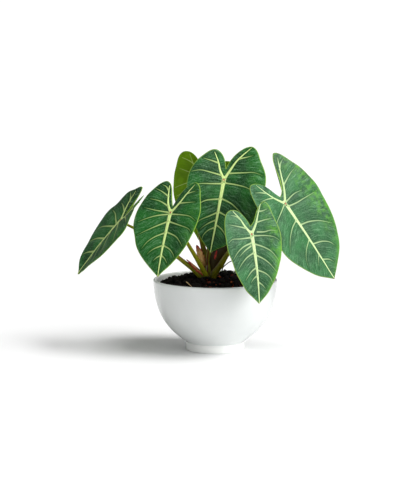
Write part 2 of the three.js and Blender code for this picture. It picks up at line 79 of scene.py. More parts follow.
# Each leaf: where its stalk joins the blade, which way its upper face looks, how its midrib rolls
# from hanging straight down, and its shape, all in millimetres and degrees. Each half has the
# curve of its margin, small swells and dents of that margin as (share of its length, outward),
# the rib into its lobe and its side veins as (towards the tip, out from the midrib) points.
LEAVES = [
    dict(
        name="left", joint=(-121, -8, 169), azimuth=-69, elevation=38, roll=-19,
        length=92, notch=10, tip_bend=1.3, lobe_bend=-0.3, fold=15, curl=3.5,
        left=dict(
            lobe=49, lobe_out=15, spread=0.3, lobe_round=0.34, half=46, widest=26, fullness=0.3,
            sway=((0.28, -4.0), (0.37, 0.8), (0.46, -4.0), (0.55, 3.0), (0.78, -2.0), (0.9, 2.0)),
            rib=((-12, 9), (-22, 15), (-38, 20)),
            veins=(
                ((-24, 15), (-28, 22), (-30, 30)), ((-10, 8), (-12, 18), (-12, 30)),
                ((8, 0), (6, 10), (3, 22), (4, 36)), ((11, 0), (20, 15), (30, 30), (39, 38)),
                ((32, 0), (41, 15), (49, 24), (58, 31)), ((54, 0), (61, 10), (68, 17), (74, 20)),
            ),
        ),
        right=dict(
            lobe=48, lobe_out=13, spread=0.3, lobe_round=0.32, half=49, widest=26, fullness=0.3,
            sway=((0.28, -4.0), (0.38, -5.0), (0.48, 3.0)), lobe_lift=9,
            rib=((-12, 8), (-24, 14), (-38, 18)),
            veins=(
                ((-22, 13), (-26, 22), (-28, 32)), ((-8, 6), (-10, 18), (-9, 32)),
                ((5, 0), (7, 16), (12, 30), (18, 42)), ((20, 0), (28, 16), (36, 28), (46, 36)),
                ((38, 0), (46, 14), (54, 24), (62, 30)), ((58, 0), (65, 10), (71, 15), (76, 17)),
            ),
        ),
        wave=1.2, waves=4, seed=3, finish="deep", bold=1.5,
        stalk=dict(
            radii=(3.9, 2.9, 2.4, 1.5), maroon=0.12, wing=0.15,
            path=(
                (-18, -4, 95), (-21, -5, 99), (-34, -6, 110), (-48, -6, 121), (-72, -8, 140),
                (-103, -7, 158),
            ),
        ),
    ),
    dict(
        name="front_left", joint=(-56, -62, 185), azimuth=-27, elevation=31, roll=0,
        length=85, notch=10, tip_bend=2.7, lobe_bend=5.5, fold=11, curl=1.6,
        left=dict(
            lobe=44, lobe_out=18, spread=0.2, lobe_round=0.2, half=46, widest=14, fullness=0.4,
            sway=((0.06, -1.0), (0.18, 0.7), (0.3, -0.7), (0.42, -0.9), (0.67, -1.6)),
            rib=((-10, 6), (-24, 10), (-38, 13)),
            veins=(
                ((-31, 12), (-36, 17), (-38, 23)), ((-22, 9), (-28, 20), (-32, 31)),
                ((-8, 5), (-14, 18), (-16, 33)), ((0, 1), (-1, 21), (-3, 37)),
                ((2, 0), (6, 17), (11, 29), (17, 40)), ((12, 0), (18, 11), (27, 26), (34, 37)),
                ((27, 0), (34, 13), (42, 22), (52, 28)), ((44, 0), (49, 10), (54, 16), (58, 19)),
                ((57, 0), (61, 6), (66, 10)),
            ),
        ),
        right=dict(
            lobe=44, lobe_out=22, spread=0.1, lobe_round=0.2, half=43, widest=12, fullness=0.3,
            sway=((0.2, 0.6), (0.36, -1.0), (0.48, 1.1), (0.65, -0.6), (0.9, 1.0)),
            rib=((-13, 9), (-27, 16), (-41, 23)),
            veins=(
                ((-27, 16), (-29, 22), (-31, 29)), ((-13, 9), (-14, 22), (-15, 33)),
                ((2, 0), (3, 17), (5, 30), (11, 40)), ((12, 0), (17, 18), (22, 33), (27, 38)),
                ((26, 0), (32, 16), (38, 23), (45, 29)), ((44, 0), (49, 11), (56, 18), (60, 20)),
                ((57, 0), (61, 6), (67, 11)),
            ),
        ),
        wave=0.6, waves=5, seed=11, finish="deep",
        stalk=dict(
            radii=(3.5, 2.5, 2.1, 1.7), maroon=0.06, wing=0.1,
            path=((-12, -6, 95), (-13, -7, 99), (-22, -15, 117), (-34, -26, 139), (-45, -42, 161)),
        ),
    ),
    dict(
        name="back", joint=(-14.5, 46, 204), azimuth=172, elevation=38, roll=9,
        length=84, notch=15, tip_bend=4.3, lobe_bend=-3, fold=16, curl=1,
        left=dict(
            lobe=47, lobe_out=25, spread=0.1, lobe_round=0.4, half=42, widest=12, fullness=0.2,
            sway=((0.3, -0.8), (0.5, 0.8)),
            rib=((-13, 8), (-27, 15), (-42, 23)),
            veins=(
                ((-29, 16), (-32, 24), (-36, 32)), ((-12, 8), (-15, 20), (-15, 34)),
                ((4, 0), (7, 15), (11, 28), (17, 37)), ((21, 0), (27, 13), (35, 24), (44, 31)),
                ((38, 0), (44, 11), (51, 18), (58, 22)), ((54, 0), (59, 7), (64, 11), (69, 12)),
            ),
        ),
        right=dict(
            lobe=54, lobe_out=24, spread=0, lobe_round=0.4, half=41, widest=12, fullness=0.2,
            sway=((0.25, 0.8), (0.4, -0.8)),
            rib=((-14, 7), (-28, 13), (-38, 17), (-52, 23)),
            veins=(
                ((-38, 17), (-41, 24), (-43, 33)), ((-21, 10), (-22, 22), (-24, 35)),
                ((-8, 5), (-5, 18), (2, 27), (13, 38)), ((6, 0), (11, 14), (18, 27), (26, 35)),
                ((21, 0), (28, 14), (36, 24), (45, 29)), ((38, 0), (44, 10), (51, 17), (58, 20)),
            ),
        ),
        wave=0.8, waves=5, seed=23, finish="back",
        stalk=dict(
            radii=(3.8, 2.9, 2.4, 1.8), maroon=0.3, wing=0.3,
            path=(
                (-9, 9, 95), (-9.5, 9, 100), (-14, 12, 125), (-19, 16, 145), (-22, 26, 170),
                (-18, 35, 190),
            ),
        ),
    ),
    dict(
        name="centre", joint=(11, -18, 222), azimuth=3, elevation=17, roll=-11,
        length=98, notch=15, tip_bend=6.6, lobe_bend=2.5, fold=13, curl=1.6,
        left=dict(
            lobe=37, lobe_out=17, spread=0, lobe_round=0.2, half=46, widest=11, fullness=0.3,
            sway=((0.06, 0.9), (0.25, -1.2), (0.41, 0.5), (0.8, -1.6)),
            rib=((-11, 7), (-21, 11), (-33, 18)),
            veins=(
                ((-20, 11), (-21, 19), (-22, 31)), ((-5, 3), (-6, 19), (-6, 32), (-2, 43)),
                ((5, 0), (8, 14), (11, 29), (16, 41)), ((25, 0), (30, 18), (35, 25), (46, 35)),
                ((42, 0), (48, 9), (56, 21), (64, 26)), ((52, 0), (57, 8), (63, 15), (68, 19)),
                ((62, 0), (67, 8), (74, 13), (80, 14)),
            ),
        ),
        right=dict(
            lobe=49, lobe_out=27, spread=0.1, lobe_round=0.2, half=54, widest=17, fullness=0.3,
            sway=((0.05, 0.9), (0.16, -0.9), (0.31, -2.2), (0.42, 1.2), (0.9, 1.4)),
            rib=((-14, 6), (-28, 13), (-47, 28)),
            veins=(
                ((-30, 15), (-33, 23), (-37, 32)), ((-9, 4), (-13, 25), (-15, 36), (-13, 48)),
                ((4, 0), (4, 16), (6, 32), (13, 47)), ((24, 0), (28, 14), (34, 24), (43, 36)),
                ((41, 0), (45, 11), (52, 21), (61, 28)), ((58, 0), (63, 9), (70, 15), (76, 17)),
            ),
        ),
        wave=0.7, waves=5, seed=31, finish="deep",
        stalk=dict(
            radii=(3.6, 3.8, 2.6, 1.8), maroon=0.25, wing=0.2,
            path=((-8.5, 0, 95), (-8.5, 0, 100), (-8.5, 3, 118), (-6, 6, 140), (2, 7, 175), (9, 0, 208)),
        ),
    ),
    dict(
        name="front_right", joint=(45, -88, 161), azimuth=20, elevation=22, roll=3,
        length=88, notch=11, tip_bend=4.8, lobe_bend=2.1, fold=11, curl=1.5,
        left=dict(
            lobe=34, lobe_out=21, spread=0, lobe_round=0.3, half=37, widest=10, fullness=0.4,
            sway=((0.02, 1.4), (0.2, -1.4), (0.62, -1.5), (0.87, 1.3)),
            rib=((-10, 7), (-20, 12), (-31, 20)),
            veins=(
                ((-20, 12), (-24, 17), (-26, 24)), ((-8, 6), (-11, 17), (-14, 29)),
                ((4, 0), (5, 17), (5, 28), (9, 34)), ((11, 2), (15, 14), (21, 23), (30, 31)),
                ((15, 4), (20, 13), (27, 22)), ((23, 0), (29, 12), (36, 20), (43, 26)),
                ((42, 0), (46, 7), (52, 13), (57, 17)), ((52, 0), (56, 6), (61, 10)),
            ),
        ),
        right=dict(
            lobe=40, lobe_out=23, spread=0.6, lobe_round=0.2, half=36, widest=10, fullness=0.4,
            sway=((0.05, -1.4), (0.33, -1.3), (0.48, 1.1), (0.7, -0.8), (0.91, 1.3)),
            rib=((-11, 7), (-27, 14), (-38, 19)),
            veins=(
                ((-28, 14), (-28, 20), (-30, 27)), ((-14, 8), (-16, 20), (-17, 31)),
                ((-2, 8), (-1, 17), (-2, 25), (0, 33)), ((2, 0), (4, 18), (7, 28), (12, 34)),
                ((12, 0), (18, 13), (25, 22), (38, 30)), ((26, 0), (33, 11), (40, 18), (50, 25)),
                ((45, 0), (50, 10), (56, 16), (64, 19)), ((60, 0), (64, 5), (69, 9)),
            ),
        ),
        wave=0.5, waves=5, seed=47, finish="young_sheened",
        stalk=dict(
            radii=(4.2, 3.3, 2.4, 1.8), maroon=0.5, wing=0.2,
            path=((-3.5, -9, 95), (-2, -11, 99), (7, -22, 113), (17, -36, 131), (31, -60, 148)),
        ),
    ),
    dict(
        name="right", joint=(89, -19, 191.5), azimuth=40, elevation=20, roll=29,
        length=119, notch=11, tip_bend=0.6, lobe_bend=4, fold=15, curl=1.9,
        left=dict(
            lobe=49, lobe_out=32, spread=0, lobe_round=0.2, half=56, widest=26, fullness=0.5,
            sway=((0.04, -2.0), (0.08, 1.8), (0.18, -1.3), (0.34, -0.8), (0.64, 0.8), (0.95, -1.0)),
            rib=((-14, 11), (-27, 18), (-43, 24)),
            veins=(
                ((-27, 18), (-33, 27), (-38, 36)), ((-16, 12), (-21, 24), (-25, 38)),
                ((0, 2), (4, 18), (8, 33), (15, 46)), ((26, 0), (29, 17), (37, 33), (49, 46)),
                ((56, 0), (63, 17), (72, 28), (83, 34)), ((80, 0), (86, 9), (93, 15)),
            ),
        ),
        right=dict(
            lobe=57, lobe_out=33, spread=0.9, lobe_round=0.2, half=55, widest=24, fullness=0.5,
            sway=((0.09, -1.9), (0.18, 1.6), (0.32, -2.2), (0.5, 2.4), (0.66, -0.3), (0.83, 1.6)),
            rib=((-16, 12), (-33, 22), (-52, 34)),
            veins=(
                ((-37, 24), (-42, 31), (-45, 42)), ((-19, 14), (-23, 27), (-25, 35), (-26, 48)),
                ((-1, 3), (-2, 19), (1, 32)), ((5, 0), (9, 15), (11, 28), (15, 51)),
                ((34, 0), (38, 13), (46, 27), (62, 44)), ((64, 0), (70, 15), (78, 24), (90, 29)),
                ((88, 0), (94, 9), (101, 13)),
            ),
        ),
        wave=0.8, waves=5, seed=59, finish="young_sheened",
        stalk=dict(
            radii=(4.0, 3.6, 2.6, 2.0), maroon=1.0, wing=1.6, groove=(0.1, 1, 0.3),
            path=((-3, 2, 95), (-2, 1, 100), (2, -2, 117), (11, -6, 133), (38, -7, 158), (66, -7, 178)),
        ),
    ),
]

# Dry sheaths: base, tip and the way the outer face looks, in millimetres, and how red each is.
SHEATHS = [
    dict(
        name="left", base=(-14, -8, 99), tip=(-37, -10, 118.5), face=(0.3, -0.5, 0.8),
        width=6, red=0.45,
    ),
    dict(
        name="middle", base=(-14, 0, 108), tip=(-24, 1, 136), face=(-0.2, -0.9, 0.4),
        width=8.5, red=0,
    ),
    dict(
        name="right", base=(-0.5, -6.5, 118), tip=(2, -9, 130), face=(0.6, -0.8, 0.2),
        width=3.4, red=0.9,
    ),
]


# ---------- settings ----------


def tone(red, green, blue):
    """A display colour, given as three numbers up to 255, as scene linear values."""
    shares = [part / 255 for part in (red, green, blue)]
    return tuple(s / 12.92 if s <= 0.04045 else ((s + 0.055) / 1.055) ** 2.4 for s in shares)


def colour_property(name, description, rgb):
    return FloatVectorProperty(
        name=name, description=description, default=tone(*rgb), subtype="COLOR", size=3, min=0, max=1,
    )


def plain_property(name, description, default):
    return FloatProperty(name=name, description=description, default=default)


def length_property(name, description, millimetres):
    return FloatProperty(name=name, description=description, default=millimetres * MM, unit="LENGTH")


class LeafSettings(bpy.types.PropertyGroup):
    """Sizes and colours of the leaf blades."""

    thickness: length_property("Blade thickness", "Thickness of a blade between its veins", 0.8)
    puff: length_property("Puff", "How far the blade swells between its veins", 0.9)
    ridge: length_property("Ridge", "How far the midrib stands out of the upper face", 0.7)
    rib: length_property("Rib", "How far the midrib stands out of the underside", 1.5)
    deep: colour_property("Deep green", "Upper face of the older leaves", (7, 55, 15))
    deep_light: colour_property("Deep green, light", "Paler streaks of the older leaves", (34, 112, 36))
    # The young greens are partly the paler tissue of younger leaves and partly a painted greyish sheen of
    # the light on the leaves facing it.
    young_sheened: colour_property("Young green", "Upper face of the younger leaves", (14, 70, 30))
    young_light: colour_property("Young green, light", "Paler streaks of the younger leaves", (50, 118, 62))
    # Painted sunlight: brighter green where light falls on the outer margins.
    painted_sunlight: colour_property("Sunny green", "Bright zones along the outer margins", (84, 152, 40))
    vein: colour_property("Vein", "Main veins of the older leaves", (224, 248, 160))
    young_vein: colour_property("Young vein", "Main veins of the younger leaves", (208, 232, 170))
    margin: colour_property("Margin", "The thin line round each blade", (142, 178, 64))
    # Painted sheen: the pale colour of the fine lines stands in for light glancing off the blade.
    sheen: colour_property("Sheen", "Fine pale lines between the veins", (138, 190, 142))
    underside: colour_property("Underside", "Lower face of the blades", (96, 140, 66))
    back: colour_property("Lit-through green", "Lower face where light comes through", (124, 172, 4))
    joint: colour_property("Joint", "The small spot where the stalk joins", (205, 105, 92))


class StalkSettings(bpy.types.PropertyGroup):
    """Colours of the stalks, crown and sheaths."""

    olive: colour_property("Olive", "Main colour of the stalks", (116, 124, 6))
    lime: colour_property("Lime", "Light streaks on the stalks", (172, 164, 20))
    russet: colour_property("Russet", "Edges of the sheathing stalk bases", (112, 34, 8))
    # Partly real maroon and partly painted shade, darkest on the stalks that stand in shadow and at their
    # feet.
    maroon: colour_property("Maroon", "Shaded, reddened stalks", (34, 6, 3))
    # Partly the sheaths' own peach and partly painted light shining through them.
    husk: colour_property("Husk", "Dry sheaths", (255, 214, 146))
    husk_gold: colour_property("Golden husk", "Yellower fibres of the dry sheaths", (240, 160, 20))
    husk_edge: colour_property("Husk edge", "Red edges of the dry sheaths", (186, 30, 24))


class BowlSettings(bpy.types.PropertyGroup):
    """Finish of the glazed bowl."""

    glaze: colour_property("Glaze", "Colour of the glaze", (222, 225, 224))
    pooled: colour_property("Pooled glaze", "Deeper tone where glaze gathers", (212, 216, 215))
    # Painted light: this whiter colour brightens the foot and the shaded inside.
    foot: colour_property("Foot and inside", "Whiter glaze on the foot and inside", (250, 252, 249))
    wall: length_property("Wall", "Thickness of the bowl's wall", 3.8)
    foot_radius: length_property("Foot radius", "Half the width of the foot", 38.2)
    foot_height: length_property("Foot height", "Height of the foot", 10)


class SoilSettings(bpy.types.PropertyGroup):
    """Grain and colours of the potting mix."""

    crumbs: IntProperty(name="Crumbs", description="Number of loose crumbs", default=2450, min=0)
    clods: IntProperty(name="Clods", description="Number of larger clods", default=110, min=0)
    dark: colour_property("Dark", "Moist mix", (9, 6, 4))
    brown: colour_property("Brown", "Drier mix", (40, 22, 14))
    bark: colour_property("Bark", "Bark fragments", (184, 94, 48))
    red_bark: colour_property("Red bark", "Redder bark fragments", (124, 50, 34))
    pale: colour_property("Pale", "Pale fibres and straw", (232, 206, 150))


class StageSettings(bpy.types.PropertyGroup):
    """Floor, light and camera."""

    floor: colour_property("Floor", "Colour of the floor", (250, 250, 250))
    world: plain_property("Surrounding light", "Strength of the surrounding light", 0.28)
    key: plain_property("Key light", "Strength of the main light", 3.3)
    fill: plain_property("Fill light", "Strength of the low front light", 1.45)
    distance: FloatProperty(name="Distance", description="Camera distance", default=2.8, unit="LENGTH")
    pitch: FloatProperty(
        name="Pitch", description="How far the camera looks down", default=math.radians(7.75),
        subtype="ANGLE",
    )
    lens: plain_property("Lens", "Focal length in millimetres", 156.5)


class PlantSettings(bpy.types.PropertyGroup):
    """All settings of the potted alocasia."""

    leaves: PointerProperty(type=LeafSettings)
    stalks: PointerProperty(type=StalkSettings)
    bowl: PointerProperty(type=BowlSettings)
    soil: PointerProperty(type=SoilSettings)
    stage: PointerProperty(type=StageSettings)


# ---------- node materials ----------


class Signal:
    """A node's output socket that can be used in arithmetic."""

    def __init__(self, finish, socket):
        self.finish = finish
        self.socket = socket

    def capped(self, most=1.0):
        """The value, or most where it is greater."""
        return self.finish.math("MINIMUM", self, most)

    def __add__(self, other):
        return self.finish.math("ADD", self, other)

    def __sub__(self, other):
        return self.finish.math("SUBTRACT", self, other)

    def __rsub__(self, other):
        return self.finish.math("SUBTRACT", other, self)

    def __mul__(self, other):
        return self.finish.math("MULTIPLY", self, other)

    __radd__ = __add__
    __rmul__ = __mul__

    def step(self, low, high):
        """0 below low, 1 above high, and smooth between them."""
        sockets = {"Value": self, "From Min": low, "From Max": high}
        return self.finish.node("ShaderNodeMapRange", {"interpolation_type": "SMOOTHSTEP"}, sockets)


class Finish:
    """A node material that is built up by expressions."""

    def __init__(self, name):
        self.material = bpy.data.materials.new(name)
        self.material.use_nodes = True
        self.tree = self.material.node_tree
        self.surface = self.tree.nodes["Principled BSDF"]

    def plug(self, socket, value):
        if isinstance(value, Signal):
            self.tree.links.new(value.socket, socket)
        elif isinstance(value, (tuple, list)) and socket.type == "RGBA":
            socket.default_value = (*value, 1)[:4]
        else:
            socket.default_value = value

    def node(self, kind, settings=None, sockets=None, output=0):
        """Adds a node, sets its settings, then its sockets, and gives the named output."""
        made = self.tree.nodes.new(kind)
        for key, value in (settings or {}).items():
            if key == "stops":
                self.set_stops(made.color_ramp, value)
            else:
                setattr(made, key, value)
        for key, value in (sockets or {}).items():
            self.plug(made.inputs[key], value)
        return Signal(self, made.outputs[output])

    @staticmethod
    def set_stops(ramp, stops):
        while len(ramp.elements) < len(stops):
            ramp.elements.new(1)
        for element, (place, colour) in zip(ramp.elements, stops):
            element.position = place
            element.color = (*colour, 1)

    def math(self, operation, *values):
        return self.node("ShaderNodeMath", {"operation": operation}, dict(enumerate(values)))

    def mix(self, share, first, second):
        sockets = {0: share, 6: first, 7: second}
        return self.node("ShaderNodeMix", {"data_type": "RGBA"}, sockets, output=2)

    def attribute(self, name, output="Fac"):
        return self.node("ShaderNodeAttribute", {"attribute_name": name}, output=output)

    def noise(self, vector, scale, detail=3.0, roughness=0.5):
        sockets = {"Vector": vector, "Scale": scale, "Detail": detail, "Roughness": roughness}
        return self.node("ShaderNodeTexNoise", None, sockets)

    def swirl(self, vector, scale, size):
        """A small wandering offset, to bend a pattern with."""
        sockets = {"Vector": vector, "Scale": scale, "Detail": 2.0}
        colour = self.node("ShaderNodeTexNoise", None, sockets, output=1)
        return self.stretched(colour, (size, size, size))

    def stretched(self, vector, factors):
        return self.vector_math("MULTIPLY", vector, factors)

    def vector_math(self, operation, *values, output=0):
        sockets = dict(enumerate(values))
        return self.node("ShaderNodeVectorMath", {"operation": operation}, sockets, output)

    def vector(self, *parts):
        return self.node("ShaderNodeCombineXYZ", None, dict(enumerate(parts)))

    def place(self):
        return self.node("ShaderNodeTexCoord", output="Object")

    def bump(self, height, distance, strength=1.0):
        sockets = {"Height": height, "Distance": distance, "Strength": strength}
        return self.node("ShaderNodeBump", None, sockets)

    def done(self, **sockets):
        """Sets the shader's sockets; an underscore in a name stands for a space."""
        for key, value in sockets.items():
            self.plug(self.surface.inputs[key.replace("_", " ")], value)
        return self.material


# ---------- shared mesh helpers ----------


def rows(array):
    return np.asarray(array, float)


def new_piece(name, points, faces, material, attributes=None, replaces=None):
    """Makes a smooth mesh piece, points in metres, and ties it to the frame."""
    mesh = bpy.data.meshes.new(name)
    mesh.from_pydata(rows(points).tolist(), [], faces)
    mesh.materials.append(material)
    mesh.shade_smooth()
    for key, values in (attributes or {}).items():
        values = rows(values)
        kind, field = ("FLOAT", "value") if values.ndim == 1 else ("FLOAT_VECTOR", "vector")
        mesh.attributes.new(key, kind, "POINT").data.foreach_set(field, values.ravel())
    piece = bpy.data.objects.new(name, mesh)
    bpy.context.scene.collection.objects.link(piece)
    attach(piece, "root")
    if replaces:
        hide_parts(replaces)
    return piece


def even_points(points, count):
    """The same line with points at even distances along it."""
    steps = np.linalg.norm(np.diff(points, axis=0), axis=1)
    along = np.concatenate([[0], np.cumsum(steps)])
    wanted = np.linspace(0, along[-1], count)
    return np.stack([np.interp(wanted, along, column) for column in points.T], axis=1)


def bezier(start, start_handle, end_handle, end, count=60):
    t = np.linspace(0, 1, count)[:, None]
    s = 1 - t
    start, start_handle, end_handle, end = map(rows, (start, start_handle, end_handle, end))
    return s**3 * start + 3 * s * s * t * start_handle + 3 * s * t * t * end_handle + t**3 * end


def joined(*lines):
    return np.concatenate([lines[0]] + [line[1:] for line in lines[1:]])


def smooth_path(controls, count):
    """A centripetal curve through the control points, with evenly spaced points."""
    controls = rows(controls)
    padded = np.vstack([2 * controls[0] - controls[1], controls, 2 * controls[-1] - controls[-2]])
    pieces = []
    for a, b, c, d in zip(padded, padded[1:], padded[2:], padded[3:]):
        ab, bc, cd = (math.sqrt(np.linalg.norm(q - p)) for p, q in ((a, b), (b, c), (c, d)))
        out = (b - a) / ab - (c - a) / (ab + bc) + (c - b) / bc
        into = (c - b) / bc - (d - b) / (bc + cd) + (d - c) / cd
        pieces.append(bezier(b, b + out * bc / 3, c - into * bc / 3, c, 30))
    return even_points(joined(*pieces), count)


def nearest_on(points, line, chunk=3000):
    """For each point, its distance to a line and the share of the line's length it is nearest to."""
    start, run = line[:-1], np.diff(line, axis=0)
    lengths = np.linalg.norm(run, axis=1)
    before = np.concatenate([[0], np.cumsum(lengths)])
    distance, share = np.empty(len(points)), np.empty(len(points))
    for low in range(0, len(points), chunk):
        part = points[low:low + chunk, None]
        t = ((part - start) * run).sum(-1) / np.maximum((run * run).sum(-1), 1e-12)
        t = np.clip(t, 0, 1)
        gaps = np.linalg.norm(part - start - t[..., None] * run, axis=-1)
        best = gaps.argmin(1)
        rowwise = np.arange(len(best))
        distance[low:low + chunk] = gaps[rowwise, best]
        share[low:low + chunk] = (before[best] + t[rowwise, best] * lengths[best]) / before[-1]
    return distance, share


def crown_middle():
    low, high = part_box("crown")
    return (rows(low) + rows(high)) / 2


def ring_faces(rings, around, start=0):
    """Quads between rings of points that close on themselves."""
    faces = []
    for ring in range(rings - 1):
        low, high = start + ring * around, start + (ring + 1) * around
        for i in range(around):
            j = (i + 1) % around
            faces.append((low + i, low + j, high + j, high + i))
    return faces


def closed_rings(rings, around):
    """The faces of rings that are closed by fans to two more points, at the first and last end."""
    faces = ring_faces(rings, around)
    last, first_end, last_end = (rings - 1) * around, rings * around, rings * around + 1
    for i in range(around):
        j = (i + 1) % around
        faces.append((first_end, j, i))
        faces.append((last_end, last + i, last + j))
    return faces


def whole_turn(count):
    return np.linspace(0, 2 * math.pi, count, endpoint=False)


def turned_points(reach, level, angle):
    """Rings of points round the Z axis, from each ring's reach and its level above the ground."""
    x, y = reach * np.cos(angle), reach * np.sin(angle)
    return np.stack([x, y, np.broadcast_to(level[:, None], x.shape)], axis=-1).reshape(-1, 3)


def wander(points, scale, seed):
    """Smooth noise from -1 to 1 at each point, whose features are about scale long."""
    shift = Vector((seed * 7.3, seed * 3.1, seed * 5.7))
    return np.array([noise.noise(Vector(p) / scale + shift) for p in points])


# ---------- leaf blades ----------

HALF_POINTS = 210
BLADE_RINGS = 64
# The midrib's fold is rounded over this many millimetres, and each swell or dent of a margin
# spreads over this share of its length.
MIDRIB_ROUND = 4.0
SWAY_WIDTH = 0.055
# Half widths of the midrib, of the lobes' ribs and of the side veins, at their start and end.
MIDRIB_WIDTHS = (2.7, 0.6)
RIB_WIDTHS = (1.9, 0.4)
VEIN_WIDTHS = (1.15, 0.35)
DRY_TIP = tone(120, 72, 34)


def leaf_frame(leaf):
    """Directions from the joint to the tip, across to the right half and out of the upper face."""
    azimuth, elevation, roll = (math.radians(leaf[key]) for key in ("azimuth", "elevation", "roll"))
    level = rows((math.cos(azimuth), math.sin(azimuth), 0))
    flat = math.cos(elevation)
    face = rows((math.sin(azimuth) * flat, -math.cos(azimuth) * flat, math.sin(elevation)))
    down = np.cross(level, face)
    along = math.cos(roll) * down + math.sin(roll) * level
    across = math.cos(roll) * level - math.sin(roll) * down
    return along, across, face


def heart_half(leaf, half):
    """One half of the heart-shaped margin, from the notch round the lobe to the tip."""
    length, notch = leaf["length"], leaf["notch"]
    lobe, lobe_out, spread = half["lobe"], half["lobe_out"], half["spread"]
    width, widest, fullness = half["half"], half["widest"], half["fullness"]
    reach = 0.35 * (lobe - notch)
    inner = bezier(
        (-notch, 0),
        (-notch - reach * (1 - spread), (0.12 + 0.3 * spread) * lobe_out),
        (-lobe + reach * spread, 0.45 * lobe_out),
        (-lobe, lobe_out),
    )
    shoulder = bezier(
        (-lobe, lobe_out),
        (-lobe, lobe_out + half["lobe_round"] * width),
        (widest - 0.6 * (lobe + widest), width),
        (widest, width),
    )
    flank = bezier(
        (widest, width),
        (widest + 0.5 * (length - widest), width),
        (length - 0.22 * (length - widest), fullness * width),
        (length, 0),
    )
    margin = even_points(joined(inner, shoulder, flank), HALF_POINTS)
    run = np.gradient(margin, axis=0)
    outward = np.stack([-run[:, 1], run[:, 0]], axis=1) / np.linalg.norm(run, axis=1)[:, None]
    share = np.linspace(0, 1, HALF_POINTS)
    swell = sum(size * np.exp(-((share - at) / SWAY_WIDTH) ** 2) for at, size in half["sway"])
    swell = swell * np.sin(math.pi * share) ** 0.25
    return margin + outward * swell[:, None]


def blade_surface(flat, leaf):
    """Bends flat blade points: midrib bend, fold along the midrib, and arch of each half."""
    along, across, face = leaf_frame(leaf)
    u, v = flat[:, 0], flat[:, 1]
    bend = np.where(u > 0, leaf["tip_bend"], leaf["lobe_bend"]) * 0.001
    bend = np.where(abs(bend) < 1e-9, 1e-9, bend)
    rise = math.tan(math.radians(leaf["fold"])) * (np.hypot(v, MIDRIB_ROUND) - MIDRIB_ROUND)
    lift = rise - leaf["curl"] * 0.001 * v * v
    for side, half in ((-1, leaf["left"]), (1, leaf["right"])):
        share = np.clip((-u - 6) / 24, 0, 1) ** 2 * np.clip(side * v, 0, None)
        lift = lift + share * math.tan(math.radians(half.get("lobe_lift", 0)))
    forward = np.sin(bend * u) * (1 / bend + lift)
    out = (np.cos(bend * u) - 1) / bend + np.cos(bend * u) * lift
    return rows(leaf["joint"]) + forward[:, None] * along + v[:, None] * across + out[:, None] * face


def blade_normals(flat, leaf):
    step = 0.5
    du = blade_surface(flat + (step, 0), leaf) - blade_surface(flat - (step, 0), leaf)
    dv = blade_surface(flat + (0, step), leaf) - blade_surface(flat - (0, step), leaf)
    normal = np.cross(du, dv)
    return normal / np.linalg.norm(normal, axis=1)[:, None]


def vein_lines(leaf):
    """Every main vein as (line, half width at its start, half width at its end, rank)."""
    length = leaf["length"]
    midrib = rows([(-2, 0), (length * 0.5, 0), (length * 0.99, 0)])
    veins = [(even_points(midrib, 60), *MIDRIB_WIDTHS, 1.0)]
    vein_widths = [leaf.get("bold", 1.0) * width for width in VEIN_WIDTHS]
    for side, half in ((-1, leaf["left"]), (1, leaf["right"])):
        rib = smooth_path(rows(((0, 0), *half["rib"])) * (1, side), 40)
        veins.append((rib, *RIB_WIDTHS, 0.9))
        for vein in half["veins"]:
            veins.append((smooth_path(rows(vein) * (1, side), 30), *vein_widths, 0.6))
    return veins


def vein_fields(flat, veins):
    """How far inside a vein each point is, how strong that vein is, and the gap to any vein."""
    depth = np.full(len(flat), -9.0)
    strength = np.zeros(len(flat))
    distance = np.full(len(flat), 1e3)
    for line, wide, narrow, order in veins:
        gap, share = nearest_on(flat, line)
        width = wide + (narrow - wide) * share**0.8
        inside = 1 - gap / width
        better = inside > depth
        depth = np.where(better, inside, depth)
        fade = order if order > 0.8 else order * (1 - 0.5 * share**2)
        strength = np.where(better, fade, strength)
        distance = np.minimum(distance, gap + (0 if order > 0.5 else 1))
    return np.maximum(depth, -2), strength, distance


def vein_flow(flat, leaf):
    """A number that is the same all along each side vein and runs evenly between them."""
    flow = np.empty(len(flat))
    out = abs(flat[:, 1])
    for side, half in ((-1, leaf["left"]), (1, leaf["right"])):
        mine = flat[:, 1] * side >= 0
        reach, u = out[mine], flat[mine, 0]
        starts, crossings = [], []
        for vein in half["veins"]:
            line = smooth_path(vein, 24)
            slope = (line[-1, 0] - line[-5, 0]) / max(line[-1, 1] - line[-5, 1], 1)
            past = np.maximum(reach - line[-1, 1], 0) * min(slope, 1.2)
            short = np.minimum(reach - line[0, 1], 0) * 0.5
            starts.append(vein[0][0])
            crossings.append(np.interp(reach, line[:, 1], line[:, 0]) + past + short)
        crossings = rows(crossings)
        for row in range(1, len(crossings)):
            crossings[row] = np.maximum(crossings[row], crossings[row - 1] + 2)
        value = starts[0] + (u - crossings[0])
        for row in range(1, len(crossings)):
            low, high = crossings[row - 1], crossings[row]
            share = (u - low) / (high - low)
            between = starts[row - 1] + share * (starts[row] - starts[row - 1])
            value = np.where(u > low, between, value)
        value = np.where(u > crossings[-1], starts[-1] + u - crossings[-1], value)
        flow[mine] = value
    return flow


